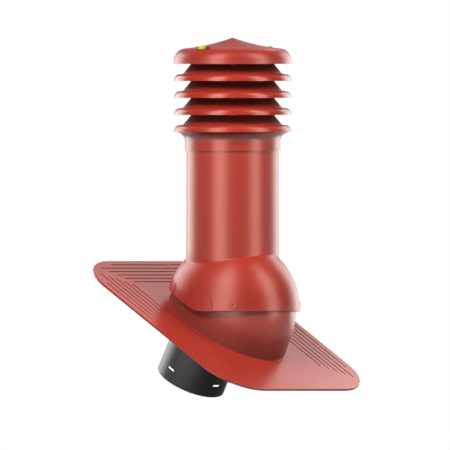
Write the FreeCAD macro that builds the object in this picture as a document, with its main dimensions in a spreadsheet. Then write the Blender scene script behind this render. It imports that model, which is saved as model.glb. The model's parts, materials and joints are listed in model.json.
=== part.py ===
import FreeCAD
import Part
import Sketcher
import math
import os

# Roof vent pipe for a pitched roof, millimetres, +Z up.
# The origin is the centre of the flashing plate's flat underside, which lies on the roof.
# The roof falls towards -Y. The hood tilts about a cross axis through the centre of the base's
# dome, and the pipe stands upright above that centre.

doc = FreeCAD.newDocument("roof_vent_pipe")

# Driving dimensions: name, value, meaning.
SIZES = (
    ("roof_pitch", 30, "slope of the roof, degrees"),
    ("plate_width", 368, "flashing across the roof"),
    ("plate_slope", 456, "flashing up the roof"),
    ("plate_thick", 3.5, "flashing thickness"),
    ("plate_corner", 85, "flashing corner radius"),
    ("plate_edge", 1.2, "rounding of the flashing's top edge"),
    ("groove_first", 14.3, "edge to the first water groove"),
    ("groove_clear", 13.4, "dome's foot to the innermost water groove"),
    ("groove_radius", 1.4, "radius of a groove's round bottom"),
    ("groove_sunk", 0.3, "height of a groove's centre line above the plate"),
    ("groove_outer_end", 78, "first groove's end to the next edge"),
    ("groove_inner_end", 43, "second groove's end to the next edge"),
    ("groove_end_step", 10, "how much sooner each further groove ends"),
    ("dome_side", 96, "outside of the base's dome, along its hinge axis"),
    ("dome_back", 126.5, "outside of the dome, about its hinge axis"),
    ("dome_wall", 3, "wall of the dome and its foot"),
    ("dome_rise", 29.1, "hinge axis above the flashing's top face"),
    ("foot_flare", 0.3, "how much wider the dome's foot is at the bottom"),
    ("foot_inset", 1.1, "how much shorter that foot is at the bottom, up the roof"),
    ("foot_shift", 2.4, "middle of that foot towards the eave"),
    ("foot_fillet", 1.5, "fillet where the dome's foot meets the flashing"),
    ("mouth_radius", 66, "air opening in the top of the dome"),
    ("mouth_lean", 20.5, "angle of that opening from the roof's normal, degrees"),
    ("flange_recess", 4, "spigot flange above the flashing's underside"),
    ("flange_thick", 3, "spigot flange thickness"),
    ("flange_gap", 0.4, "spigot flange to the foot's wall"),
    ("post_radius", 5.5, "screw post in the foot"),
    ("post_inset", 4.5, "post centre to the foot's inner wall"),
    ("post_height", 28, "length of a screw post"),
    ("post_first", 0, "direction of the first screw post, degrees"),
    ("screw_shank", 1.95, "radius of a small screw's shank"),
    ("screw_length", 13, "small screw's shank below its head"),
    ("pilot_spare", 1, "depth of a pilot hole beyond the screw's tip"),
    ("screw_head", 3.6, "radius of a small screw's head"),
    ("screw_head_high", 2.4, "height of a small screw's head"),
    ("screw_gap", 0.05, "screw to its pilot hole"),
    ("hole_gap", 0.35, "screw to its clearance hole"),
    ("spigot_radius", 62.5, "outside of the duct spigot"),
    ("spigot_wall", 3, "spigot wall"),
    ("spigot_shift", 29.6, "spigot axis up the roof from the plate's centre"),
    ("spigot_drop", 126.1, "spigot rim below the flashing's underside"),
    ("slot_long", 18, "length of a slot in the spigot"),
    ("slot_high", 5, "height of a slot in the spigot"),
    ("slot_rise", 22.7, "slot centre above the spigot's rim"),
    ("joint_gap", 0.3, "running gap between pieces that turn"),
    ("duct_wall", 2.5, "inner duct wall"),
    ("duct_bead", 5, "width of the bead on the inner duct's top"),
    ("bead_thick", 2, "thickness of that bead"),
    ("seat_rise", 4, "top of the duct's seat above the dome"),
    ("seat_wall", 2.5, "wall of that seat"),
    ("seat_rim", 5, "height of the rim that centres the duct"),
    ("seat_rim_wall", 2, "thickness of that rim"),
    ("hood_side", 110, "outside of the hood, along the hinge axis"),
    ("hood_wall", 2.4, "hood wall"),
    ("hood_fillet", 4, "fillet where the pipe leaves the hood"),
    ("rim_front", 1.2, "front rim below the hinge axis"),
    ("rim_start", 16.6, "where the rim starts to rise, in front of the hinge axis"),
    ("rim_slope", 24, "rise of the rim to the back, degrees"),
    ("rim_blend", 55, "radius of the blend in the rim"),
    ("pipe_top_radius", 82, "outer pipe at its top"),
    ("pipe_taper", 0.65, "how much wider the pipe is where it leaves the hood"),
    ("pipe_wall", 2.5, "wall of the outer pipe at its top"),
    ("foam_thick", 14.1, "foam between the duct's rim and the outer pipe"),
    ("disc_radius", 30.6, "round outline on each side of the hood"),
    ("disc_rise", 8.1, "centre of that outline above the hinge axis"),
    ("disc_forward", 20, "that centre in front of the hinge axis"),
    ("line_wide", 1.0, "width of that outline"),
    ("line_deep", 0.6, "depth of that outline"),
    ("pad_radius", 7.6, "screw pad on the hood"),
    ("pad_proud", 0.9, "how far a screw pad stands proud"),
    ("pad_dimple", 1.3, "radius of the mark in a screw pad"),
    ("pad_front_turn", 45, "front pads from the side axis, degrees"),
    ("pad_back_turn", 30.3, "back pads from the side axis, degrees"),
    ("pad_front_rise", 10.3, "front pads above the hinge axis"),
    ("pad_back_rise", 42.3, "back pads above the hinge axis"),
    ("first_lip", 317.6, "lowest louvre lip above the hinge axis"),
    ("louvre_pitch", 30.2, "louvre spacing"),
    ("lip_radius", 104.6, "outside of a louvre lip"),
    ("lip_draft", 0.6, "lip's lean inwards over its plain part"),
    ("lip_plain", 3.5, "height of the lip's plain part"),
    ("lip_round", 10.4, "shoulder radius above a lip"),
    ("shoulder_high", 8.944, "height of that shoulder"),
    ("shoulder_run", 5.4, "flat top of the shoulder, up to where the cone starts"),
    ("louvre_wall", 2.2, "louvre wall"),
    ("cone_foot_rise", 12.9, "height of the cone's start above the lip"),
    ("cone_lean", 0.85, "cone's run inwards for each mm of rise"),
    ("cone_run", 22.2, "how far a louvre cone runs in to its upper edge"),
    ("sleeve_wall", 2.5, "wall of the collar's sleeve"),
    ("sleeve_gap", 0.15, "sleeve to pipe"),
    ("sleeve_long", 16, "plain length of the sleeve"),
    ("flare_foot_wide", 2.15, "flat between the end of the flare and the lip's outside"),
    ("collar_ledge", 2.5, "thickness of the ledge inside the collar"),
    ("ledge_reach", 6.15, "how far that ledge reaches in over the pipe"),
    ("top_ring_thick", 2.5, "thickness of the ring on the pipe's top"),
    ("top_ring_skirt", 12, "depth of that ring's skirt"),
    ("boss_out", 4, "middle of a tie boss outside the cone's upper edge"),
    ("boss_first", 45, "direction of the first tie boss, degrees"),
    ("boss_radius", 5, "tie boss"),
    ("boss_start", 14, "lower end of a tie boss above its lip"),
    ("tie_radius", 2, "tie screw shank"),
    ("tie_head", 4, "tie screw head"),
    ("tie_head_high", 3, "height of a tie screw head"),
    ("tie_gap", 0.15, "tie screw to its hole"),
    ("tie_bite", 9, "length of a tie screw in the cap"),
    ("cap_plain", 5.9, "height of the cap's plain lip"),
    ("cap_round", 22, "cap's shoulder radius"),
    ("cap_wall", 2.5, "cap wall"),
    ("cap_sweep", 357, "radius of the cap's hollow roof line"),
    ("cap_peak", 46.5, "cap's point above its lip"),
    ("peak_flat", 1.2, "radius of the flat tip of that point"),
    ("vial_radius", 3.2, "level vial"),
    ("vial_long", 20, "level vial length"),
    ("vial_inset", 14.6, "vials' axes inside the cap's lip"),
    ("vial_sunk", 3.1, "floor of a vial's cradle below the top of the cap's shoulder"),
    ("vial_gap", 0.1, "vial to its cradle"),
    ("lug_thick", 2.8, "lug at each end of a vial"),
    ("lug_high", 6.2, "height of a lug above the cradle's floor"),
    ("lug_reach", 2, "lug beyond the vial's axis"),
    ("cradle_floor", 3.8, "material under a vial"),
    ("cradle_back", 2.4, "material behind a vial"),
    ("cradle_back_high", 3.7, "top of that material above the cradle's floor"),
    ("left_vial_turn", 188.5, "direction of the left vial, degrees"),
    ("right_vial_turn", 3.5, "direction of the right vial, degrees"),
)
GROOVES = 6
POSTS = 6
TIES = 4
RINGS = 3

sheet = doc.addObject("Spreadsheet::Sheet", "Sizes")
for row, (name, value, meaning) in enumerate(SIZES, start=1):
    sheet.set(f"A{row}", name)
    sheet.set(f"B{row}", str(value))
    sheet.set(f"C{row}", meaning)
    sheet.setAlias(f"B{row}", name)
doc.recompute()


class Size:
    # A number together with the sheet expression that gives it.

    def __init__(self, value, text):
        self.value = float(value)
        self.text = text

    def __add__(self, other):
        other = as_size(other)
        return Size(self.value + other.value, f"({self.text} + {other.text})")

    def __sub__(self, other):
        other = as_size(other)
        return Size(self.value - other.value, f"({self.text} - {other.text})")

    def __mul__(self, other):
        other = as_size(other)
        return Size(self.value * other.value, f"({self.text} * {other.text})")

    def __truediv__(self, other):
        other = as_size(other)
        return Size(self.value / other.value, f"({self.text} / {other.text})")

    def __radd__(self, other):
        return as_size(other) + self

    def __rsub__(self, other):
        return as_size(other) - self

    def __rmul__(self, other):
        return as_size(other) * self

    def __neg__(self):
        return as_size(0) - self


def as_size(number):
    if isinstance(number, Size):
        return number
    return Size(number, f"({number})")


def root(size):
    return Size(math.sqrt(size.value), f"sqrt({size.text})")


def sine(angle):
    return Size(math.sin(math.radians(angle.value)), f"sin({angle.text})")


def cosine(angle):
    return Size(math.cos(math.radians(angle.value)), f"cos({angle.text})")


def tangent(angle):
    return sine(angle) / cosine(angle)


class Named:
    # Every size of the sheet by its name, such as dim.dome_wall.
    pass


dim = Named()
for name, value, meaning in SIZES:
    setattr(dim, name, Size(sheet.get(name), f"Sizes.{name}"))


def bind(thing, prop, size):
    size = as_size(size)
    setattr(thing, prop, size.value)
    thing.setExpression(prop, size.text)


def place(thing, x=0, y=0, z=0, axis=(0, 0, 1), angle=0):
    # Puts a thing at x, y, z, turned by angle about axis through that point.
    x, y, z, angle = as_size(x), as_size(y), as_size(z), as_size(angle)
    turn = FreeCAD.Rotation(FreeCAD.Vector(*axis), angle.value)
    thing.Placement = FreeCAD.Placement(FreeCAD.Vector(x.value, y.value, z.value), turn)
    thing.setExpression("Placement.Base.x", x.text)
    thing.setExpression("Placement.Base.y", y.text)
    thing.setExpression("Placement.Base.z", z.text)
    if angle.value:
        thing.setExpression("Placement.Rotation.Angle", angle.text)
    return thing


def cylinder(name, radius, height, **where):
    thing = doc.addObject("Part::Cylinder", name)
    bind(thing, "Radius", radius)
    bind(thing, "Height", height)
    return place(thing, **where)


def box(name, length, width, height, **where):
    thing = doc.addObject("Part::Box", name)
    bind(thing, "Length", length)
    bind(thing, "Width", width)
    bind(thing, "Height", height)
    return place(thing, **where)


def barrel(name, side, back, lowest=-90, z=0):
    # Domed body: an ellipse turned about the hinge axis, which runs along X.
    thing = doc.addObject("Part::Ellipsoid", name)
    bind(thing, "Radius1", back)
    bind(thing, "Radius2", side)
    bind(thing, "Radius3", back)
    thing.Angle1 = lowest
    return place(thing, z=z)


def oval_slab(name, low, high):
    # Straight-sided body between two ovals, each given by side, back, height and middle.
    rings = []
    for end, (side, back, height, middle) in (("low", low), ("high", high)):
        ring = doc.addObject("Part::Ellipse", f"{name}_{end}")
        bind(ring, "MajorRadius", back)
        bind(ring, "MinorRadius", side)
        rings.append(place(ring, y=middle, z=height, angle=90))
    slab = doc.addObject("Part::Loft", name)
    slab.Sections = rings
    slab.Solid = True
    slab.Ruled = True
    return slab


def fuse(name, *parts):
    thing = doc.addObject("Part::MultiFuse", name)
    thing.Shapes = list(parts)
    return thing


def cut(name, base, *tools):
    tool = tools[0]
    if len(tools) > 1:
        tool = doc.addObject("Part::Compound", name + "_tools")
        tool.Links = list(tools)
    thing = doc.addObject("Part::Cut", name)
    thing.Base = base
    thing.Tool = tool
    return thing


def outline(sketch, corners):
    # Draws a closed outline. Each corner is x and y, and, where the edge to the next corner is
    # an arc, its radius: positive bulges to the right of the way drawn, negative to the left.
    count = len(corners)
    spots = [(as_size(c[0]), as_size(c[1])) for c in corners]
    points = [FreeCAD.Vector(x.value, y.value, 0) for x, y in spots]
    for i, corner in enumerate(corners):
        start, end = points[i], points[(i + 1) % count]
        if len(corner) == 2:
            sketch.addGeometry(Part.LineSegment(start, end), False)
            continue
        radius = as_size(corner[2])
        chord = end - start
        right = FreeCAD.Vector(chord.y, -chord.x, 0).normalize()
        bulge = 1 if radius.value > 0 else -1
        size = abs(radius.value)
        half = chord.Length / 2
        rise = size - math.sqrt(max(size * size - half * half, 0))
        middle = (start + end) * 0.5 + right * bulge * rise
        sketch.addGeometry(Part.Arc(start, middle, end), False)
    for i in range(count):
        after = (i + 1) % count
        end_point = end_of(sketch, i, points[after])
        start_point = end_of(sketch, after, points[after])
        sketch.addConstraint(Sketcher.Constraint("Coincident", i, end_point, after, start_point))
    for i, corner in enumerate(corners):
        if len(corner) == 3:
            radius = as_size(corner[2])
            size = radius if radius.value > 0 else -radius
            number = sketch.addConstraint(Sketcher.Constraint("Radius", i, size.value))
            sketch.setExpression(f"Constraints[{number}]", size.text)
    for i, (x, y) in enumerate(spots):
        point = end_of(sketch, i, points[i])
        for kind, size in (("DistanceX", x), ("DistanceY", y)):
            number = sketch.addConstraint(Sketcher.Constraint(kind, -1, 1, i, point, size.value))
            sketch.setExpression(f"Constraints[{number}]", size.text)
    return sketch


def end_of(sketch, number, point):
    # An arc may be kept the other way round, so its ends are found by their place.
    near = sketch.getPoint(number, 1).distanceToPoint(point)
    far = sketch.getPoint(number, 2).distanceToPoint(point)
    return 1 if near <= far else 2


def sketch_plane(body, role):
    return next(f for f in body.Origin.OriginFeatures if f.Role == role)


def turned(name, corners):
    # A body turned about +Z from a profile of radius and height.
    body = doc.addObject("PartDesign::Body", name)
    sketch = body.newObject("Sketcher::SketchObject", name + "_profile")
    sketch.AttachmentSupport = [(sketch_plane(body, "XZ_Plane"), "")]
    sketch.MapMode = "FlatFace"
    outline(sketch, corners)
    turn = body.newObject("PartDesign::Revolution", name + "_turn")
    turn.Profile = sketch
    turn.ReferenceAxis = (sketch, ["V_Axis"])
    turn.Angle = 360
    body.Tip = turn
    return body


def pad(name, corners, height, midplane=False, role="XY_Plane"):
    # A body raised from an outline.
    body = doc.addObject("PartDesign::Body", name)
    sketch = body.newObject("Sketcher::SketchObject", name + "_outline")
    sketch.AttachmentSupport = [(sketch_plane(body, role), "")]
    sketch.MapMode = "FlatFace"
    outline(sketch, corners)
    raised = body.newObject("PartDesign::Pad", name + "_pad")
    raised.Profile = sketch
    bind(raised, "Length", height)
    raised.Midplane = midplane
    body.Tip = raised
    return body


nodes = []


def node(thing, name):
    # A finished piece: its label is the name of its file.
    thing.Label = name
    nodes.append((name, thing))
    return thing


# Places of the two frames that the pieces are drawn in.
# Base pieces are drawn flat on the roof and then tilted by the pitch.
# Upright pieces are drawn about the dome's centre.

hinge_height = dim.plate_thick + dim.dome_rise
centre_y = -(hinge_height * sine(dim.roof_pitch))
centre_z = hinge_height * cosine(dim.roof_pitch)


def on_roof(thing, name):
    return node(place(thing, axis=(1, 0, 0), angle=dim.roof_pitch), name)


def upright(thing, name, rise=0, turn=0):
    return node(place(thing, y=centre_y, z=centre_z + rise, angle=turn), name)


# Base flashing: plate, dome, screw posts and water grooves.

foot_side = dim.dome_side + dim.foot_flare
foot_back = dim.dome_back - dim.foot_inset
inner_side = dim.dome_side - dim.dome_wall
inner_back = dim.dome_back - dim.dome_wall
room_back = (foot_back - dim.foot_shift - dim.dome_wall + inner_back) / 2
room_shift = inner_back - room_back
groove_room = dim.plate_width / 2 - dim.groove_first - foot_side - dim.groove_clear
groove_pitch = groove_room / (GROOVES - 1)


def plate_outline(width, length, corner):
    half_x = width / 2
    half_y = length / 2
    in_x = half_x - corner
    in_y = half_y - corner
    return (
        (-in_x, -half_y), (in_x, -half_y, corner),
        (half_x, -in_y), (half_x, in_y, corner),
        (in_x, half_y), (-in_x, half_y, corner),
        (-half_x, in_y), (-half_x, -in_y, corner),
    )


def flashing_plate():
    plate = pad("plate", plate_outline(dim.plate_width, dim.plate_slope, dim.plate_corner),
                dim.plate_thick)
    doc.recompute()
    sharp = plate.Tip
    top = [f"Edge{i}" for i, edge in enumerate(sharp.Shape.Edges, start=1)
           if edge.BoundBox.ZMin > dim.plate_thick.value - 0.01]
    rounding = plate.newObject("PartDesign::Fillet", "plate_rounding")
    rounding.Base = (sharp, top)
    bind(rounding, "Radius", dim.plate_edge)
    plate.Tip = rounding
    return plate


def dome_outside():
    # Domed above the hinge axis, and straight below it down to the flashing's underside.
    # The foot leans in on its upper side, so that the hood's back clears it.
    top = barrel("dome_top", dim.dome_side, dim.dome_back, lowest=0, z=hinge_height)
    foot = oval_slab("dome_foot",
                     (foot_side, foot_back, 0, -dim.foot_shift),
                     (dim.dome_side, dim.dome_back, hinge_height, 0))
    return top, foot


def dome_inside():
    # The foot's room has upright walls, and the wall is thicker on the upper side.
    top = barrel("dome_room", inner_side, inner_back, lowest=0)
    bind(top, "Radius3", room_back)
    place(top, y=-room_shift, z=hinge_height)
    foot = oval_slab("foot_room", (inner_side, room_back, -dim.dome_wall, -room_shift),
                     (inner_side, room_back, hinge_height, -room_shift))
    return top, foot


def post_spot(i):
    # Centre of a screw post, in the roof's own plane.
    angle = dim.post_first + i * 360 / POSTS
    return ((inner_side - dim.post_inset) * cosine(angle),
            (room_back - dim.post_inset) * sine(angle) - room_shift)


post_foot = dim.flange_recess + dim.flange_thick


def screw_posts():
    posts = []
    holes = []
    for i in range(POSTS):
        x, y = post_spot(i)
        posts.append(cylinder(f"post_{i}", dim.post_radius, dim.post_height, x=x, y=y, z=post_foot))
        holes.append(cylinder(f"pilot_{i}", dim.screw_shank + dim.screw_gap,
                              dim.screw_length + dim.pilot_spare, x=x, y=y, z=dim.flange_recess))
    return posts, holes


def water_grooves():
    # Six on the ridge side and six on each side edge. The ends step in like a mitre.
    grooves = []
    height = dim.plate_thick + dim.groove_sunk
    for k in range(GROOVES):
        inset = dim.groove_first + k * groove_pitch
        end = dim.groove_inner_end + (k - 1) * dim.groove_end_step
        if k == 0:
            end = dim.groove_outer_end
        ridge = dim.plate_slope / 2 - inset
        grooves.append(cylinder(f"ridge_groove_{k}", dim.groove_radius, dim.plate_width - 2 * end,
                                x=-(dim.plate_width / 2 - end), y=ridge, z=height,
                                axis=(0, 1, 0), angle=90))
        for side, name in ((-1, "left"), (1, "right")):
            across = side * (dim.plate_width / 2 - inset)
            grooves.append(cylinder(f"{name}_groove_{k}", dim.groove_radius,
                                    dim.plate_slope - 2 * end,
                                    x=across, y=dim.plate_slope / 2 - end, z=height,
                                    axis=(1, 0, 0), angle=90))
    return grooves


def foot_edges(body):
    # Where the dome's foot meets the flashing's top face.
    side = foot_side.value + 1
    back = foot_back.value + dim.foot_shift.value + 1
    top = dim.plate_thick.value
    found = []
    for i, edge in enumerate(body.Shape.Edges, start=1):
        room = edge.BoundBox
        level = abs(room.ZMin - top) < 0.01 and room.ZLength < 0.01
        if level and max(room.XMax, -room.XMin) < side and max(room.YMax, -room.YMin) < back:
            found.append(i)
    return found


def base_flashing():
    posts, pilots = screw_posts()
    mouth = cylinder("mouth", dim.mouth_radius, dim.dome_back * 2, z=hinge_height,
                     axis=(-1, 0, 0), angle=dim.mouth_lean)
    plate = cut("grooved_plate", flashing_plate(), *water_grooves())
    whole = fuse("plate_and_dome", plate, *dome_outside())
    doc.recompute()
    rounded = doc.addObject("Part::Fillet", "foot_rounding")
    rounded.Base = whole
    rounded.Edges = [(i, dim.foot_fillet.value, dim.foot_fillet.value) for i in foot_edges(whole)]
    shell = cut("dome_shell", rounded, *dome_inside(), mouth)
    full = cut("flashing", fuse("shell_and_posts", shell, *posts), *pilots)
    on_roof(full, "base_flashing")


# Duct spigot, with its flange in the foot of the dome, and the screws of the flange.

def spigot_slot(name, turn):
    # One straight cut with round ends through both walls of the spigot.
    across = dim.spigot_radius * 3
    flat = dim.slot_long - dim.slot_high
    end = dim.slot_high / 2
    middle = box(name + "_middle", flat, across, dim.slot_high,
                 x=-(flat / 2), y=-(across / 2), z=-end)
    ends = [cylinder(f"{name}_end_{side}", end, across, x=side * flat / 2, y=across / 2,
                     axis=(1, 0, 0), angle=90) for side in (-1, 1)]
    slot = fuse(name, middle, *ends)
    return place(slot, y=dim.spigot_shift, z=dim.slot_rise - dim.spigot_drop, angle=turn)


def duct_spigot():
    side = inner_side - dim.flange_gap
    back = room_back - dim.flange_gap
    flange = oval_slab("flange", (side, back, dim.flange_recess, -room_shift),
                       (side, back, post_foot, -room_shift))
    rim = -dim.spigot_drop
    tube = cylinder("spigot_tube", dim.spigot_radius, post_foot - rim, y=dim.spigot_shift, z=rim)
    bore = cylinder("spigot_bore", dim.spigot_radius - dim.spigot_wall, post_foot - rim,
                    y=dim.spigot_shift, z=rim)
    slots = [spigot_slot("slots_up_roof", 0), spigot_slot("slots_across", 90)]
    holes = []
    for i in range(POSTS):
        x, y = post_spot(i)
        holes.append(cylinder(f"flange_hole_{i}", dim.screw_shank + dim.hole_gap, dim.flange_thick,
                              x=x, y=y, z=dim.flange_recess))
    on_roof(cut("spigot", fuse("flange_and_tube", flange, tube), bore, *slots, *holes), "duct_spigot")


def spigot_screws():
    screws = []
    for i in range(POSTS):
        x, y = post_spot(i)
        head = cylinder(f"screw_head_{i}", dim.screw_head, dim.screw_head_high,
                        x=x, y=y, z=dim.flange_recess - dim.screw_head_high)
        shank = cylinder(f"screw_shank_{i}", dim.screw_shank, dim.screw_length,
                         x=x, y=y, z=dim.flange_recess)
        screws.append(fuse(f"screw_{i}", head, shank))
    group = doc.addObject("Part::Compound", "screws")
    group.Links = screws
    on_roof(group, "spigot_screws")


# Outer pipe, and the collar's sleeve over its top, which flares out to the lowest lip.

pipe_bore = dim.pipe_top_radius - dim.pipe_wall
pipe_foot_radius = dim.pipe_top_radius + dim.pipe_taper
sleeve_bore = dim.pipe_top_radius + dim.sleeve_gap
sleeve_radius = sleeve_bore + dim.sleeve_wall
flare_end = dim.lip_radius - dim.flare_foot_wide
flare_radius = flare_end - sleeve_radius


# Duct seat: a ring in the pipe's foot that slides on the dome and carries duct and foam.

turning_bore = pipe_bore - dim.joint_gap
rim_outside = turning_bore - dim.foam_thick - dim.joint_gap
rim_bore = rim_outside - dim.seat_rim_wall
duct_radius = rim_bore - dim.joint_gap
duct_bore = duct_radius - dim.duct_wall
seat_top = dim.dome_back + dim.seat_rise


def duct_seat():
    low = dim.dome_side / 2
    blank = turned("seat_blank", (
        (duct_bore, low),
        (turning_bore, low),
        (turning_bore, seat_top),
        (rim_outside, seat_top),
        (rim_outside, seat_top + dim.seat_rim),
        (rim_bore, seat_top + dim.seat_rim),
        (rim_bore, seat_top),
        (duct_bore, seat_top),
    ))
    channel = turned("seat_channel", (
        (rim_outside, low),
        (turning_bore - dim.seat_wall, low),
        (turning_bore - dim.seat_wall, seat_top + 1),
        (rim_outside, seat_top + 1),
    ))
    slide_side = dim.dome_side + dim.joint_gap
    slide_back = dim.dome_back + dim.joint_gap
    floor = barrel("seat_floor", slide_side + dim.seat_wall, slide_back + dim.seat_wall)
    room = cut("seat_room", channel, floor)
    upright(cut("seat", blank, barrel("seat_slide", slide_side, slide_back), room), "duct_seat")


# Inner duct, foam sleeve and the ring that closes them at the top of the pipe.

sleeve_top = dim.first_lip - flare_radius
pipe_top = sleeve_top - dim.top_ring_thick
carried = seat_top + dim.joint_gap
ring_skirt_bore = duct_radius + dim.sleeve_gap
ring_skirt_outside = ring_skirt_bore + dim.top_ring_thick


def inner_duct():
    bead = duct_radius + dim.duct_bead
    upright(turned("duct", (
        (duct_bore, carried),
        (duct_radius, carried),
        (duct_radius, sleeve_top),
        (bead, sleeve_top),
        (bead, sleeve_top + dim.bead_thick),
        (duct_bore, sleeve_top + dim.bead_thick),
    )), "inner_duct")


def insulation_sleeve():
    inside = rim_outside + dim.joint_gap
    outside = pipe_bore - dim.joint_gap
    upright(turned("foam", (
        (inside, carried),
        (outside, carried),
        (outside, pipe_top),
        (ring_skirt_outside + dim.joint_gap, pipe_top),
        (ring_skirt_outside + dim.joint_gap, pipe_top - dim.top_ring_skirt - dim.joint_gap),
        (inside, pipe_top - dim.top_ring_skirt - dim.joint_gap),
    )), "insulation_sleeve")


def duct_top_ring():
    upright(turned("top_ring", (
        (ring_skirt_bore, sleeve_top),
        (ring_skirt_bore, pipe_top - dim.top_ring_skirt),
        (ring_skirt_outside, pipe_top - dim.top_ring_skirt),
        (ring_skirt_outside, pipe_top),
        (dim.pipe_top_radius, pipe_top),
        (dim.pipe_top_radius, sleeve_top),
    )), "duct_top_ring")


# Hood and outer pipe, one moulding.

hood_back = dim.dome_back + dim.joint_gap + dim.hood_wall


def rim_cutter():
    # Everything below the rim: level in front, rising towards the back.
    # It is drawn from the side, with the hood's back to the right.
    far = hood_back * 2
    level = -dim.rim_front
    slope = tangent(dim.rim_slope)
    reach = dim.rim_blend * tangent(dim.rim_slope / 2)
    return pad("below_rim", (
        (-far, -far),
        (far, -far),
        (far, level + (far + dim.rim_start) * slope),
        (reach * cosine(dim.rim_slope) - dim.rim_start, level + reach * sine(dim.rim_slope),
         -dim.rim_blend),
        (-reach - dim.rim_start, level),
        (-far, level),
    ), dim.hood_side * 3, midplane=True, role="YZ_Plane")


def surface_spot(turn, rise):
    # Point of the hood's outside at a direction and a height, and the way it faces there.
    side, back = dim.hood_side.value, hood_back.value
    across = FreeCAD.Vector(math.cos(math.radians(turn)), math.sin(math.radians(turn)), 0)
    share = 1 - (rise / back) ** 2
    radius = math.sqrt(share / ((across.x / side) ** 2 + (across.y / back) ** 2))
    spot = across * radius + FreeCAD.Vector(0, 0, rise)
    facing = FreeCAD.Vector(spot.x / side ** 2, spot.y / back ** 2, spot.z / back ** 2)
    return spot, facing.normalize()


def screw_pads():
    # Round pads with a drill mark, two in front and two behind the side axis.
    pads = []
    marks = []
    root_depth = dim.hood_wall.value * 0.6
    for rise, turns in (
            (dim.pad_front_rise.value, (180 + dim.pad_front_turn.value, -dim.pad_front_turn.value)),
            (dim.pad_back_rise.value, (180 - dim.pad_back_turn.value, dim.pad_back_turn.value))):
        for turn in turns:
            spot, facing = surface_spot(turn, rise)
            rotation = FreeCAD.Rotation(FreeCAD.Vector(0, 0, 1), facing)
            number = len(pads)
            button = doc.addObject("Part::Cylinder", f"pad_{number}")
            bind(button, "Radius", dim.pad_radius)
            bind(button, "Height", dim.pad_proud + root_depth)
            button.Placement = FreeCAD.Placement(spot - facing * root_depth, rotation)
            mark = doc.addObject("Part::Cylinder", f"mark_{number}")
            bind(mark, "Radius", dim.pad_dimple)
            bind(mark, "Height", dim.pad_proud * 2)
            mark.Placement = FreeCAD.Placement(spot, rotation)
            pads.append(button)
            marks.append(mark)
    return pads, marks


def side_outline():
    # Thin round line on each side of the hood.
    reach = dim.hood_side * 3
    start = -(reach / 2)
    outer = cylinder("disc_line_outside", dim.disc_radius, reach, x=start, y=-dim.disc_forward,
                     z=dim.disc_rise, axis=(0, 1, 0), angle=90)
    inner = cylinder("disc_line_inside", dim.disc_radius - dim.line_wide, reach, x=start,
                     y=-dim.disc_forward, z=dim.disc_rise, axis=(0, 1, 0), angle=90)
    core = barrel("line_floor", dim.hood_side - dim.line_deep, hood_back - dim.line_deep)
    return cut("disc_line", outer, inner, core)


def hood_pipe():
    dome = barrel("hood_dome", dim.hood_side, hood_back)
    pipe = doc.addObject("Part::Cone", "pipe_outside")
    bind(pipe, "Radius1", pipe_foot_radius)
    bind(pipe, "Radius2", dim.pipe_top_radius)
    start = dim.hood_side / 2
    bind(pipe, "Height", pipe_top - start)
    place(pipe, z=start)
    body = fuse("hood_outside", dome, pipe)
    doc.recompute()
    joints = [i for i, edge in enumerate(body.Shape.Edges, start=1)
              if start.value < edge.BoundBox.ZMin
              and edge.BoundBox.ZMax < hood_back.value
              and edge.BoundBox.XLength > pipe_foot_radius.value]
    rounded = doc.addObject("Part::Fillet", "hood_neck")
    rounded.Base = body
    rounded.Edges = [(i, dim.hood_fillet.value, dim.hood_fillet.value) for i in joints]
    room = barrel("hood_room", dim.hood_side - dim.hood_wall, hood_back - dim.hood_wall)
    bore = cylinder("pipe_inside", pipe_bore, pipe_top)
    pads, marks = screw_pads()
    shell = cut("hood_shell", fuse("hood_and_pads", rounded, *pads), fuse("hood_inside", room, bore),
                rim_cutter(), side_outline(), *marks)
    upright(shell, "hood_pipe")


# Louvre head: collar, rings, cap, vials and tie screws. Heights are above each piece's own lip.

lip_shoulder = dim.lip_radius - dim.lip_draft - dim.lip_round
shoulder_top = dim.lip_plain + dim.shoulder_high
cone_foot = lip_shoulder - dim.shoulder_run
cone_mouth = cone_foot - dim.cone_run
cone_mouth_rise = dim.cone_foot_rise + dim.cone_run / dim.cone_lean
cone_wall = dim.louvre_wall * root(dim.cone_lean * dim.cone_lean + 1)
under_shoulder = shoulder_top - dim.louvre_wall
under_cone = cone_foot - cone_wall + (dim.cone_foot_rise - under_shoulder) * dim.cone_lean
boss_circle = cone_mouth + dim.boss_out


def louvre_top():
    # From the lip's foot over the shoulder and up the cone to its upper edge.
    return (
        (dim.lip_radius, 0),
        (dim.lip_radius - dim.lip_draft, dim.lip_plain, dim.lip_round),
        (lip_shoulder, shoulder_top),
        (cone_foot, dim.cone_foot_rise),
        (cone_mouth, cone_mouth_rise),
        (cone_mouth - cone_wall, cone_mouth_rise),
    )


def tie_spot(i):
    angle = dim.boss_first + i * 360 / TIES
    return boss_circle * cosine(angle), boss_circle * sine(angle)


def with_bosses(name, body, height, bore, depth):
    # Adds the tie bosses to a louvre piece and drills them.
    bosses = []
    holes = []
    for i in range(TIES):
        x, y = tie_spot(i)
        bosses.append(cylinder(f"{name}_boss_{i}", dim.boss_radius, height,
                               x=x, y=y, z=dim.boss_start))
        holes.append(cylinder(f"{name}_hole_{i}", bore, depth, x=x, y=y, z=dim.boss_start))
    return cut(name + "_drilled", fuse(name + "_with_bosses", body, *bosses), *holes)


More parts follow.
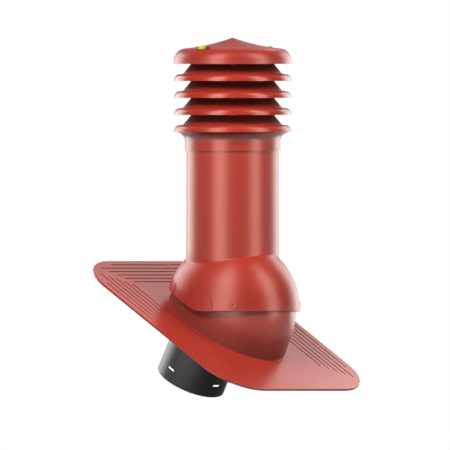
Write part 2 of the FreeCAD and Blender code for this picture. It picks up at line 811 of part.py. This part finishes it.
def louvre_ring(number):
    inner_lip = dim.lip_radius - dim.louvre_wall
    body = turned(f"louvre_{number}", louvre_top() + (
        (under_cone, under_shoulder),
        (lip_shoulder, under_shoulder, -(dim.lip_round - dim.louvre_wall)),
        (inner_lip - dim.lip_draft, dim.lip_plain),
        (inner_lip, 0),
    ))
    ring = with_bosses(f"louvre_{number}", body, dim.louvre_pitch, dim.tie_radius + dim.tie_gap,
                       dim.louvre_pitch)
    upright(ring, f"louvre_ring_{number}", rise=dim.first_lip + number * dim.louvre_pitch)


def louvre_collar():
    # Sleeve, ledge and flare below the lowest louvre. The flare ends at the lip's foot.
    flare_foot = -flare_radius
    inner_flare = flare_radius + dim.sleeve_wall
    ledge_top = flare_foot + dim.collar_ledge
    ledge_bore = sleeve_bore - dim.ledge_reach
    shoulder_reach = flare_end - lip_shoulder
    body = turned("collar", louvre_top() + (
        (under_cone, under_shoulder),
        (lip_shoulder, under_shoulder),
        (lip_shoulder, root(inner_flare * inner_flare - shoulder_reach * shoulder_reach)
         - flare_radius, inner_flare),
        (flare_end - root(inner_flare * inner_flare - dim.collar_ledge * dim.collar_ledge), ledge_top),
        (ledge_bore, ledge_top),
        (ledge_bore, flare_foot),
        (sleeve_bore, flare_foot),
        (sleeve_bore, flare_foot - dim.sleeve_long),
        (sleeve_radius, flare_foot - dim.sleeve_long),
        (sleeve_radius, flare_foot, -flare_radius),
        (flare_end, 0),
    ))
    ring = with_bosses("collar", body, dim.louvre_pitch, dim.tie_radius + dim.tie_gap,
                       dim.louvre_pitch)
    upright(ring, "louvre_collar", rise=dim.first_lip)


cap_rise = dim.first_lip + (RINGS + 1) * dim.louvre_pitch
cap_shoulder = dim.lip_radius - dim.cap_round
cap_shoulder_top = dim.cap_plain + dim.cap_round
vial_circle = dim.lip_radius - dim.vial_inset
vial_floor = cap_shoulder_top - dim.vial_sunk
vial_height = vial_floor + dim.vial_radius + dim.vial_gap
cradle_back = vial_circle - dim.vial_radius - dim.vial_gap


def vial_cradle(name, turn):
    # A block in the cap's shoulder, and the room for the vial between its two end lugs.
    room_half = dim.vial_long / 2 + dim.vial_gap
    block_half = room_half + dim.lug_thick
    inner = cradle_back - dim.cradle_back
    outer = vial_circle + dim.lug_reach
    block = box(name + "_block", outer - inner, 2 * block_half, dim.lug_high + dim.cradle_floor,
                x=inner, y=-block_half, z=vial_floor - dim.cradle_floor)
    room = box(name + "_room", dim.lip_radius - cradle_back, 2 * room_half, dim.cap_peak,
               x=cradle_back, y=-room_half, z=vial_floor)
    over = box(name + "_over", cradle_back - inner, 2 * room_half, dim.cap_peak,
               x=inner, y=-room_half, z=vial_floor + dim.cradle_back_high)
    made = doc.addObject("Part::Compound", name + "_turned")
    made.Links = [block]
    cleared = doc.addObject("Part::Compound", name + "_cleared")
    cleared.Links = [room, over]
    return place(made, angle=turn), place(cleared, angle=turn)


def rain_cap():
    inner_round = dim.cap_round - dim.cap_wall
    body = turned("cap", (
        (dim.lip_radius, 0),
        (dim.lip_radius, dim.cap_plain, dim.cap_round),
        (cap_shoulder, cap_shoulder_top, -dim.cap_sweep),
        (dim.peak_flat, dim.cap_peak),
        (0, dim.cap_peak),
        (0, dim.cap_peak - dim.cap_wall),
        (dim.peak_flat, dim.cap_peak - dim.cap_wall, dim.cap_sweep),
        (cap_shoulder, cap_shoulder_top - dim.cap_wall, -inner_round),
        (dim.lip_radius - dim.cap_wall, dim.cap_plain),
        (dim.lip_radius - dim.cap_wall, 0),
    ))
    left_block, left_room = vial_cradle("left_cradle", dim.left_vial_turn)
    right_block, right_room = vial_cradle("right_cradle", dim.right_vial_turn)
    cradled = cut("cap_with_cradles", fuse("cap_and_blocks", body, left_block, right_block),
                  left_room, right_room)
    roof_slope = (dim.cap_peak - cap_shoulder_top) / (cap_shoulder - dim.peak_flat)
    boss_top = cap_shoulder_top - dim.cap_wall / 2 + roof_slope * (cap_shoulder - boss_circle) / 2
    capped = with_bosses("cap", cradled, boss_top - dim.boss_start, dim.tie_radius + dim.screw_gap,
                         dim.tie_bite + dim.pilot_spare)
    upright(capped, "rain_cap", rise=cap_rise)


def level_vials():
    for name, turn in (("level_vial_left", dim.left_vial_turn),
                       ("level_vial_right", dim.right_vial_turn)):
        glass = cylinder(name + "_glass", dim.vial_radius, dim.vial_long, x=vial_circle,
                         y=-(dim.vial_long / 2), z=vial_height, axis=(-1, 0, 0), angle=90)
        vial = doc.addObject("Part::Compound", name + "_turned")
        vial.Links = [glass]
        upright(vial, name, rise=cap_rise, turn=turn)


def tie_screws():
    length = (RINGS + 1) * dim.louvre_pitch + dim.tie_bite
    screws = []
    for i in range(TIES):
        x, y = tie_spot(i)
        head = cylinder(f"tie_head_{i}", dim.tie_head, dim.tie_head_high,
                        x=x, y=y, z=dim.boss_start - dim.tie_head_high)
        shank = cylinder(f"tie_shank_{i}", dim.tie_radius, length, x=x, y=y, z=dim.boss_start)
        screws.append(fuse(f"tie_{i}", head, shank))
    group = doc.addObject("Part::Compound", "ties")
    group.Links = screws
    upright(group, "tie_screws", rise=dim.first_lip)


def build_all():
    base_flashing()
    duct_spigot()
    spigot_screws()
    duct_seat()
    inner_duct()
    insulation_sleeve()
    duct_top_ring()
    hood_pipe()
    louvre_collar()
    for number in range(1, RINGS + 1):
        louvre_ring(number)
    rain_cap()
    level_vials()
    tie_screws()


def export_all():
    doc.recompute()
    broken = [thing.Name for thing in doc.Objects
              if "Invalid" in thing.State or "Error" in thing.State]
    if broken:
        raise RuntimeError("failed objects: " + ", ".join(broken))
    os.makedirs("parts", exist_ok=True)
    for name, thing in nodes:
        shape = thing.Shape
        if shape.isNull() or not shape.isValid():
            raise RuntimeError("bad shape: " + name)
        shape.exportStep(f"parts/{name}.step")
        print(name, len(shape.Solids), "solids", round(shape.Volume), "mm3")


build_all()
export_all()
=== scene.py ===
import json
import math
import bmesh
import bpy
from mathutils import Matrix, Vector


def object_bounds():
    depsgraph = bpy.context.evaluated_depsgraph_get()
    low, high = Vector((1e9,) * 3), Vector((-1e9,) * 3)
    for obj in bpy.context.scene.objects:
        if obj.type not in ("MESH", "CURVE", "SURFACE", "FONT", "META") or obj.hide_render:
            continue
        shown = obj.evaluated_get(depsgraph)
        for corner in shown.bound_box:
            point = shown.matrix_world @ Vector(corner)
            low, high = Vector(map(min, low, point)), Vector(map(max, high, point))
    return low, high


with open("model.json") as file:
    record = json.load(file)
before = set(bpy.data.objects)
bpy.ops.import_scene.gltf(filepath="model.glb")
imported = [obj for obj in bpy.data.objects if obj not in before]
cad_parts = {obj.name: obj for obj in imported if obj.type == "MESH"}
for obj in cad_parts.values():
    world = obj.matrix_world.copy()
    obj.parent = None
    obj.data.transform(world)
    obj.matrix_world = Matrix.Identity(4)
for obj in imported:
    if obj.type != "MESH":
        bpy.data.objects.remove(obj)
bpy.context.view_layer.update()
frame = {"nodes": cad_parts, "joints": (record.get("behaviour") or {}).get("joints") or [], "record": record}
print("frame loaded", len(frame["nodes"]), "nodes")

# The hood's hinge axis crosses the pipe's axis here
hinge = Vector(next(j for j in frame["joints"] if j["name"] == "pitch_tilt")["pos_m"])


class Paint:
    # Draws a node tree. Sockets are linked, and plain values are set on the input.

    def __init__(self, tree):
        self.nodes = tree.nodes
        self.links = tree.links

    def put(self, inputs, values):
        for name, value in values.items():
            if isinstance(value, bpy.types.NodeSocket):
                self.links.new(value, inputs[name])
            else:
                inputs[name].default_value = value

    def add(self, kind, values, **settings):
        node = self.nodes.new("ShaderNode" + kind)
        for name, setting in settings.items():
            setattr(node, name, setting)
        self.put(node.inputs, values)
        return node.outputs

    def coords(self, kind):
        return self.add("TexCoord", {})[kind]

    def joined(self, operation, *values):
        return self.add("Math", dict(enumerate(values)), operation=operation)[0]

    def along(self, point, way):
        return self.add("VectorMath", {0: point, 1: way}, operation="DOT_PRODUCT")["Value"]

    def awayFrom(self, point, spot):
        return self.add("VectorMath", {0: point, 1: spot}, operation="DISTANCE")["Value"]

    def flattened(self, point, axes):
        # Keeps the named axes of a point and drops the others
        parts = self.add("SeparateXYZ", {0: point})
        return self.add("CombineXYZ", {axis: parts[axis] for axis in axes})[0]

    def ranged(self, value, start, stop, first, last, bend="LINEAR"):
        ends = {"From Min": start, "From Max": stop, "To Min": first, "To Max": last}
        return self.add("MapRange", {"Value": value, **ends}, interpolation_type=bend)["Result"]

    def faded(self, value, start, stop, first=0, last=1):
        return self.ranged(value, start, stop, first, last, "SMOOTHSTEP")

    def noise(self, place, scale, detail):
        return self.add("TexNoise", {"Vector": place, "Scale": scale, "Detail": detail})["Fac"]

    def mixed(self, factor, first, second):
        return self.add("Mix", {"Factor": factor, 6: first, 7: second}, data_type="RGBA")[2]


def newMaterial(name):
    material = bpy.data.materials.new(name)
    material.use_nodes = True
    return material, Paint(material.node_tree), material.node_tree.nodes["Principled BSDF"].inputs


# Moulded plastics and the foam

redLook = {
    "base": (0.45, 0.034, 0.02, 1),
    "deep": (0.41, 0.03, 0.018, 1),
    "roughness": 0.34,
    "grainDepth": 0.00004,
    "tint": (1, 0.86, 0.74, 1),
}

# Painted shade: the cap is the same plastic, with its colour darkened so that its top reads less lit
capShadedLook = {**redLook, "base": (0.3825, 0.0289, 0.017, 1), "deep": (0.3485, 0.0255, 0.0153, 1)}

blackLook = {
    "base": (0.018, 0.018, 0.02, 1),
    "deep": (0.018, 0.018, 0.02, 1),
    "roughness": 0.42,
    "grainDepth": 0.00004,
    "tint": (1, 1, 1, 1),
}

foamLook = {
    "base": (0.72, 0.72, 0.7, 1),
    "deep": (0.66, 0.66, 0.63, 1),
    "roughness": 0.9,
    "grainDepth": 0.0004,
    "tint": (1, 1, 1, 1),
}

grainLook = {
    "cloud": 9,
    "cloudDetail": 3,
    "grain": 900,
    "grainDetail": 2,
    "gloss": 0.05,
    "bump": 0.25,
    "specular": 0.85,
    # painted shade put into recesses: its colour, and how much rougher it makes them
    "shadeColour": (0.13, 0.004, 0.003, 1),
    "shadeDull": 0.45,
}


def moulded(name, look, recess=None):
    # Satin moulding: cloudy tint, fine grain in the gloss and the surface, and painted shade in its
    # recesses, darker and duller
    material, paint, shader = newMaterial(name)
    place = paint.coords("Object")
    cloud = paint.noise(place, grainLook["cloud"], grainLook["cloudDetail"])
    colour = paint.mixed(cloud, look["base"], look["deep"])
    fine = paint.noise(place, grainLook["grain"], grainLook["grainDetail"])
    spread = grainLook["gloss"]
    rough = paint.ranged(fine, 0, 1, look["roughness"] - spread, look["roughness"] + spread)
    if recess:
        # Painted shade: the recess mask pulls the colour towards the shade colour and raises the roughness
        darkMask = recess(paint, place)
        colour = paint.mixed(darkMask, colour, grainLook["shadeColour"])
        rough = paint.joined("ADD", rough, paint.joined("MULTIPLY", darkMask, grainLook["shadeDull"]))
    relief = {"Strength": grainLook["bump"], "Distance": look["grainDepth"], "Height": fine}
    paint.put(shader, {
        "Base Color": colour,
        "Roughness": rough,
        "Normal": paint.add("Bump", relief)["Normal"],
        "Specular IOR Level": grainLook["specular"],
        "Specular Tint": look["tint"],
    })
    return material


# Flashing: heights are measured square to the plate, from its top

plateLook = {
    "pitch": 30,
    "top": 0.0035,
    "cornerCentre": (0.099, 0.143, 0),
    "cornerReach": 0.078,
    "grooveFloor": (-0.0004, 0),
    "darkFrom": (0.02, 0.06),
    "aboveTop": (0.0001, 0.0003),
    "foot": (0.002, 0.006),
    "footShadeReach": (0.004, 0.07),
    "footDark": 0.7,
}


def plateRecess(paint, place):
    # Painted shade on the floors of the water grooves, and darker towards the foot of the dome
    pitch = math.radians(plateLook["pitch"])
    across = paint.along(place, (1, 0, 0))
    upSlope = paint.along(place, (0, math.cos(pitch), math.sin(pitch)))
    height = paint.along(place, (0, -math.sin(pitch), math.cos(pitch)))

    def fadedUp(limits, first, last):
        low, high = plateLook[limits]
        return paint.faded(height, plateLook["top"] + low, plateLook["top"] + high, first, last)

    # On the camera's side only the grooves up the slope are dark: the lower ones catch the light
    farSide = paint.joined("GREATER_THAN", across, 0)
    dark = paint.joined("MAXIMUM", farSide, paint.faded(upSlope, *plateLook["darkFrom"]))
    grooves = paint.joined("MULTIPLY", fadedUp("grooveFloor", 1, 0), dark)
    # Painted shade at the foot of the dome: a narrow dark band and a wide fade up the dome
    footDark = plateLook["footDark"]
    foot = paint.joined("MAXIMUM", fadedUp("foot", footDark, 0), fadedUp("footShadeReach", footDark, 0))
    foot = paint.joined("MULTIPLY", fadedUp("aboveTop", 0, 1), foot)
    # Only inside the rounded edge of the plate
    sizes = {"X": paint.joined("ABSOLUTE", across), "Y": paint.joined("ABSOLUTE", upSlope)}
    spot = paint.add("CombineXYZ", sizes)[0]
    past = paint.add("VectorMath", {0: spot, 1: plateLook["cornerCentre"]}, operation="SUBTRACT")[0]
    outward = paint.add("VectorMath", {0: past}, operation="MAXIMUM")[0]
    inside = paint.joined("LESS_THAN", paint.awayFrom(outward, (0, 0, 0)), plateLook["cornerReach"])
    return paint.joined("MULTIPLY", paint.joined("MAXIMUM", grooves, foot), inside)


# Louvres: the collar shares their painted shade in the recesses and is a little duller

louvreLook = {
    **redLook,
    "roughness": 0.24,
    # radius where the cones pass into the lips, how dark they get, height of the first one above the hinge
    "throat": (0.087, 0.0925),
    "dark": 0.5,
    "start": 0.3276,
}

collarLook = {**redLook, "roughness": 0.31}


def louvreRecess(paint, place):
    # Painted shade on the sheltered cones between the lips
    fromAxis = paint.awayFrom(paint.flattened(place, "XY"), (hinge.x, hinge.y, 0))
    throat = paint.faded(fromAxis, *louvreLook["throat"], louvreLook["dark"], 0)
    height = paint.along(place, (0, 0, 1))
    above = paint.joined("GREATER_THAN", height, hinge.z + louvreLook["start"])
    return paint.joined("MULTIPLY", throat, above)


# Hood: places are measured from the hinge

hoodLook = {
    "discCentre": (0, -0.02, 0.0081),
    "discRadius": 0.0301,
    "discLine": (0.00045, 0.0009),
    "discDark": 0.5,
    # level part of the rim, where its rise starts, degrees of the rise, and the blend between them
    "rimLevel": -0.0012,
    "rimStart": -0.0166,
    "rimSlope": 24,
    "rimBlend": 0.018,
    # width of the painted shadow line along the rim's bottom edge
    "rimLine": (0.0008, 0.0016),
    # degrees from the side axis towards the front, height above the hinge, radius
    "marks": (
        (45, 0.0103, 0.0014),
        (-30.3, 0.0423, 0.0014),
        (-12.8, 0.0206, 0.0009),
        (-3.3, 0.0156, 0.0009),
        (24, 0.0025, 0.0009),
        (30.5, 0.0028, 0.0009),
    ),
    "markEdge": (0.7, 1.3),
    "dark": 0.9,
    "rayStart": 0.5,
}


def hoodSpot(turn, rise):
    # Where a level line towards the pipe's axis meets the hood
    way = Vector((math.cos(turn), math.sin(turn), 0))
    start = hinge + way * hoodLook["rayStart"] + Vector((0, 0, rise))
    hood = frame["nodes"]["hood_pipe"]
    return hood.ray_cast(start, -way, depsgraph=bpy.context.evaluated_depsgraph_get())[1]


def discLine(paint, place):
    # Painted shade in a thin line round the disc, where it meets the hood
    centre = Vector(hoodLook["discCentre"]) + hinge
    fromCentre = paint.awayFrom(paint.flattened(place, "YZ"), centre)
    fromLine = paint.joined("ABSOLUTE", paint.joined("SUBTRACT", fromCentre, hoodLook["discRadius"]))
    return paint.faded(fromLine, *hoodLook["discLine"], hoodLook["discDark"], 0)


def rimLine(paint, place):
    # Painted shadow line along the bottom edge of the rim, which is level in front and rises to the back
    slope = math.tan(math.radians(hoodLook["rimSlope"]))
    behindStart = paint.joined("ADD", paint.along(place, (0, slope, 0)),
                               -(hinge.y + hoodLook["rimStart"]) * slope)
    rim = paint.joined("SMOOTH_MAX", behindStart, 0, hoodLook["rimBlend"] * slope)
    aboveLevel = paint.joined("SUBTRACT", paint.along(place, (0, 0, 1)), hinge.z + hoodLook["rimLevel"])
    aboveRim = paint.joined("SUBTRACT", aboveLevel, rim)
    return paint.faded(aboveRim, *hoodLook["rimLine"], hoodLook["dark"], 0)


def hoodRecess(paint, place):
    # Painted shade in the line round the disc on each side, a painted shadow line along the edge of the rim,
    # and small dark round marks near it
    darkMask = paint.joined("MAXIMUM", discLine(paint, place), rimLine(paint, place))
    near, far = hoodLook["markEdge"]
    for turn, rise, radius in hoodLook["marks"]:
        for side in (180 + turn, -turn):
            fromSpot = paint.awayFrom(place, hoodSpot(math.radians(side), rise))
            mark = paint.faded(fromSpot, radius * near, radius * far, hoodLook["dark"], 0)
            darkMask = paint.joined("MAXIMUM", darkMask, mark)
    return darkMask


# Screws

zincLook = {
    "spots": 300,
    "detail": 2,
    "dark": (0.42, 0.43, 0.45, 1),
    "light": (0.62, 0.62, 0.6, 1),
    "roughness": 0.38,
}


def zincSteel(name):
    material, paint, shader = newMaterial(name)
    spots = paint.noise(paint.coords("Object"), zincLook["spots"], zincLook["detail"])
    paint.put(shader, {
        "Base Color": paint.mixed(spots, zincLook["dark"], zincLook["light"]),
        "Metallic": 1,
        "Roughness": zincLook["roughness"],
    })
    return material


# Level vials: lengths are measured along the vial from its middle

vialLook = {
    "leftTurn": 188.5,
    "rightTurn": 3.5,
    "deep": (0.5, 0.58, 0.01, 1),
    "bright": (0.86, 0.86, 0.05, 1),
    "dark": (0.1, 0.12, 0.004, 1),
    "bubble": (0.0015, 0.0026),
    "lineAt": 0.0034,
    "lineEdge": (0.00037, 0.00055),
    "stopper": (0.0084, 0.0088),
    "roughness": 0.12,
}


def vialLiquid(name, turn):
    # Tinted liquid with two reading lines, a pale bubble between them and dark stoppers at the ends
    material, paint, shader = newMaterial(name)
    turn = math.radians(turn)
    way = Vector((-math.sin(turn), math.cos(turn), 0))
    shifted = paint.joined("SUBTRACT", paint.along(paint.coords("Object"), way), hinge.dot(way))
    shifted = paint.joined("ABSOLUTE", shifted)
    bubble = paint.faded(shifted, *vialLook["bubble"], 1, 0)
    fromLine = paint.joined("ABSOLUTE", paint.joined("SUBTRACT", shifted, vialLook["lineAt"]))
    line = paint.faded(fromLine, *vialLook["lineEdge"], 1, 0)
    dark = paint.joined("MAXIMUM", line, paint.faded(shifted, *vialLook["stopper"]))
    liquid = paint.mixed(bubble, vialLook["deep"], vialLook["bright"])
    paint.put(shader, {
        "Base Color": paint.mixed(dark, liquid, vialLook["dark"]),
        "Roughness": vialLook["roughness"],
    })
    return material


bySlot = {
    "red_plastic": moulded("brickRedPlastic", redLook),
    "black_plastic": moulded("blackPlastic", blackLook),
    "foam": moulded("paleFoam", foamLook),
    "steel": zincSteel("zincSteel"),
}
louvrePlastic = moulded("louvrePlastic", louvreLook, louvreRecess)
byNode = {
    "rain_cap": moulded("capShadedPlastic", capShadedLook),
    "louvre_collar": moulded("collarPlastic", collarLook, louvreRecess),
    "louvre_ring_1": louvrePlastic,
    "louvre_ring_2": louvrePlastic,
    "louvre_ring_3": louvrePlastic,
    "base_flashing": moulded("platePlastic", redLook, plateRecess),
    "hood_pipe": moulded("hoodPlastic", redLook, hoodRecess),
    "level_vial_left": vialLiquid("leftVialLiquid", vialLook["leftTurn"]),
    "level_vial_right": vialLiquid("rightVialLiquid", vialLook["rightTurn"]),
}
for part in frame["record"]["subparts"]:
    node = frame["nodes"][part["node"]]
    node.data.materials.clear()
    node.data.materials.append(byNode.get(part["node"]) or bySlot[part["material_slot"]])
print("materials set")


# Camera: level, from in front and to the left, with no perspective

cameraLook = {
    "azimuth": -45,
    "width": 0.7992,
    "right": -0.0135,
    "up": 0.1524,
    "away": 3.0,
}


def addCamera():
    turn = math.radians(cameraLook["azimuth"])
    toScene = Vector((-math.sin(turn), math.cos(turn), 0))
    right = Vector((math.cos(turn), math.sin(turn), 0))
    middle = hinge + right * cameraLook["right"] + Vector((0, 0, cameraLook["up"]))
    data = bpy.data.cameras.new("camera")
    data.type = "ORTHO"
    data.ortho_scale = cameraLook["width"]
    camera = bpy.data.objects.new("camera", data)
    camera.location = middle - toScene * cameraLook["away"]
    camera.rotation_euler = (math.radians(90), 0, turn)
    bpy.context.scene.collection.objects.link(camera)
    bpy.context.scene.camera = camera
    return middle, toScene, right


middle, toScene, right = addCamera()


# Soft studio light: lamps above, and tall boxes all round that only show in the gloss

lampLook = {
    # name: degrees from the camera's side (right is positive), rise, distance, width, height, watts
    "keyLeft": (-35, 38, 1.8, 1.3, 0.45, 29),
    "keyRight": (55, 38, 1.8, 1.1, 0.45, 18),
    "top": (165, 62, 1.6, 1.2, 1.0, 3.5),
}

boxLook = {
    # name: degrees from the camera's side, distance, width, foot and top above the hinge, watts
    "leftBox": (-31, 0.95, 0.48, -0.15, 2.3, 14.7),
    "rightBox": (57, 0.95, 0.43, -0.15, 2.3, 12.4),
    "backLeftBox": (-130, 1.1, 0.75, -0.15, 1.0, 8),
    "backRightBox": (136, 1.1, 0.7, -0.15, 1.0, 6.5),
    "highBackBox": (162, 2.5, 0.9, 1.7, 2.5, 4),
}


def levelWay(turn):
    turn = math.radians(turn)
    return right * math.sin(turn) - toScene * math.cos(turn)


def areaLamp(name, place, aim, width, height, watts):
    data = bpy.data.lights.new(name, "AREA")
    data.shape = "RECTANGLE"
    data.size = width
    data.size_y = height
    data.energy = watts
    lamp = bpy.data.objects.new(name, data)
    lamp.location = place
    lamp.rotation_euler = (aim - place).to_track_quat("-Z", "Y").to_euler()
    lamp.visible_camera = False
    bpy.context.scene.collection.objects.link(lamp)
    return lamp


def addLamp(name, turn, rise, away, width, height, watts):
    rise = math.radians(rise)
    way = levelWay(turn) * math.cos(rise) + Vector((0, 0, math.sin(rise)))
    lamp = areaLamp(name + "Lamp", middle + way * away, middle, width, height, watts)
    lamp.visible_glossy = False


def addGlossBox(name, turn, away, width, foot, top, watts):
    level = hinge + Vector((0, 0, (foot + top) / 2))
    lamp = areaLamp(name, level + levelWay(turn) * away, level, width, top - foot, watts)
    lamp.visible_diffuse = False


for lampName, values in lampLook.items():
    addLamp(lampName, *values)
for boxName, values in boxLook.items():
    addGlossBox(boxName, *values)
print("camera and lamps set")


# World: white behind the object for the eye and in its gloss, dim at the sides and high up

worldLook = {
    "level": 0.1,
    "behind": 1,
    "sides": 0.03,
    "sideEdge": (0.1, 0.6),
    "above": 0.3,
    "aboveEdge": (0.12, 0.3),
}

white = (1, 1, 1, 1)


def addWorld():
    world = bpy.data.worlds.new("studio")
    world.use_nodes = True
    paint = Paint(world.node_tree)
    way = paint.coords("Generated")
    behind = paint.faded(paint.along(way, toScene), *worldLook["sideEdge"],
                         worldLook["sides"], worldLook["behind"])
    dimmer = paint.faded(paint.along(way, (0, 0, 1)), *worldLook["aboveEdge"], 1, worldLook["above"])

    def lit(strength):
        return paint.add("Background", {"Color": white, "Strength": strength})[0]

    plain = world.node_tree.nodes["Background"]
    paint.put(plain.inputs, {"Color": white, "Strength": worldLook["level"]})
    rays = paint.add("LightPath", {})
    seen = paint.joined("MAXIMUM", rays["Is Camera Ray"], rays["Is Transmission Ray"])
    inGloss = lit(paint.joined("MULTIPLY", behind, dimmer))
    shine = {"Fac": rays["Is Glossy Ray"], 1: plain.outputs[0], 2: inGloss}
    both = {"Fac": seen, 1: paint.add("MixShader", shine)[0], 2: lit(1)}
    paint.put(world.node_tree.nodes["World Output"].inputs, {"Surface": paint.add("MixShader", both)[0]})
    bpy.context.scene.world = world


addWorld()


# Floor: pale to the eye and in the gloss, white far out, and dark to the light that it throws back up

floorLook = {
    "reach": 12,
    "pale": (0.9, 0.9, 0.9, 1),
    "inLight": (0.06, 0.06, 0.06, 1),
    "glow": (0.15, 0.97),
    "glowEdge": (0.6, 3.2),
}


def addFloor():
    data = bpy.data.meshes.new("floor")
    shape = bmesh.new()
    bmesh.ops.create_grid(shape, x_segments=1, y_segments=1, size=floorLook["reach"])
    bmesh.ops.translate(shape, verts=shape.verts, vec=(0, 0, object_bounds()[0][2]))
    shape.to_mesh(data)
    shape.free()
    floor = bpy.data.objects.new("floor", data)
    bpy.context.scene.collection.objects.link(floor)
    material, paint, shader = newMaterial("paleFloor")
    rays = paint.add("LightPath", {})
    seen = paint.joined("MAXIMUM", rays["Is Camera Ray"], rays["Is Glossy Ray"])
    seen = paint.joined("MAXIMUM", seen, rays["Is Transmission Ray"])
    fromMiddle = paint.awayFrom(paint.coords("Object"), (0, 0, 0))
    glow = paint.ranged(fromMiddle, *floorLook["glowEdge"], *floorLook["glow"])
    paint.put(shader, {
        "Base Color": paint.mixed(seen, floorLook["inLight"], floorLook["pale"]),
        "Roughness": 1,
        "Specular IOR Level": 0,
        "Emission Color": white,
        "Emission Strength": paint.joined("MULTIPLY", seen, glow),
    })
    data.materials.append(material)


addFloor()
bpy.context.scene.view_settings.view_transform = "Standard"
print("stage set")
